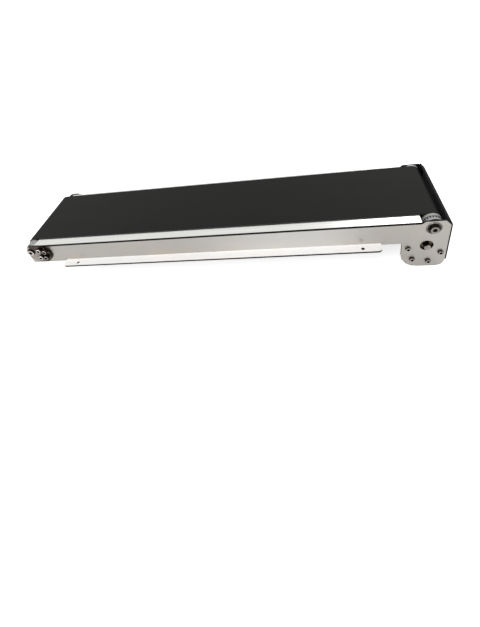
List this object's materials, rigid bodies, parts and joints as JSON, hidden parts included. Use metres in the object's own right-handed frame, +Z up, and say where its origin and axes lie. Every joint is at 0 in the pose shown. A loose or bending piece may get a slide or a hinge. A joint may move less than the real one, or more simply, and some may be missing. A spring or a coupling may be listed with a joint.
{
  "type": "belt conveyor section",
  "caption": "Small powered belt conveyor section with a flat belt over a slider bed, sheet side plates, a gear motor drive at one end and a sliding take-up at the other.",
  "frame": {"origin": "middle of the overall box, on the plane of the lowest edge", "axes": "+X along the belt towards the drive end, +Y across it towards the side away from the drive, +Z up"},
  "size_m": [0.4622, 0.119, 0.0603],
  "materials": {
    "plate": "satin stainless sheet with dark laser-cut edges",
    "bed": "bright stainless sheet",
    "bar": "plain drawn",
    "belt": "matte PVC cover",
    "timing_belt": "light grey polyurethane",
    "dark_pulley": "black anodised",
    "roller": "fine turned",
    "bearing": "ground",
    "steel": "bright zinc plate",
    "cover": "black fine texture",
    "end_cap": "moulded",
    "gearbox": "satin",
    "bracket": "bright"
  },
  "bodies": {
    "frame": {"side_plate_near": "plate", "side_plate_far": "plate", "slider_bed": "bed", "cross_bar_1": "bar", "cross_bar_2": "bar", "cross_bar_3": "bar", "motor_spacer_1": "bar", "motor_spacer_2": "bar", "motor_spacer_3": "bar", "motor_spacer_4": "bar", "conveyor_belt": "belt", "timing_belt": "timing_belt", "drive_bearing_near": "bearing", "drive_bearing_far": "bearing", "motor_can": "steel", "motor_screw_1": "steel", "motor_screw_2": "steel", "motor_screw_3": "steel", "motor_screw_4": "steel", "cover_screw_1": "steel", "cover_screw_2": "steel", "cover_screw_3": "steel", "cover_screw_4": "steel", "bed_screw_1": "steel", "bed_screw_2": "steel", "bed_screw_3": "steel", "bed_screw_4": "steel", "bed_screw_5": "steel", "bed_screw_6": "steel", "clamp_screw_near_1": "steel", "clamp_screw_near_2": "steel", "clamp_screw_near_3": "steel", "clamp_screw_near_4": "steel", "clamp_screw_far_1": "steel", "clamp_screw_far_2": "steel", "clamp_screw_far_3": "steel", "clamp_screw_far_4": "steel", "end_cover": "cover", "motor_end_cap": "end_cap", "gearbox": "gearbox"},
    "drive_roller_set": {"drive_roller": "roller", "drive_washer_near": "steel", "drive_washer_far": "steel", "drive_axle_screw_near": "steel", "drive_axle_screw_far": "steel", "driven_pulley": "roller"},
    "motor_shaft_set": {"output_shaft": "steel", "motor_pulley": "dark_pulley"},
    "take_up": {"tail_axle": "steel", "take_up_bracket_near": "bracket", "take_up_bracket_far": "bracket", "tail_axle_screw_near": "steel", "tail_axle_screw_far": "steel"},
    "tail_roller_set": {"tail_roller": "roller", "tail_bearing_near": "bearing", "tail_bearing_far": "bearing"}
  },
  "joints": [
    {"name": "drive_spin", "type": "hinge", "parent": "frame", "child": "drive_roller_set", "pos_m": [0.21332, 0, 0.0509], "axis": [0, 1, 0], "continuous": true},
    {"name": "motor_spin", "type": "hinge", "parent": "frame", "child": "motor_shaft_set", "pos_m": [0.20908, 0, 0.02895], "axis": [0, 1, 0], "continuous": true},
    {"name": "takeup_slide", "type": "slide", "parent": "frame", "child": "take_up", "axis": [1, 0, 0], "range_m": [0, 0.002]},
    {"name": "tail_spin", "type": "hinge", "parent": "take_up", "child": "tail_roller_set", "pos_m": [-0.22168, 0, 0.0509], "axis": [0, 1, 0], "continuous": true}
  ],
  "couplings": [
    {"joint": "motor_spin", "follows": "drive_spin", "ratio": 1},
    {"joint": "tail_spin", "follows": "drive_spin", "ratio": 1}
  ]
}
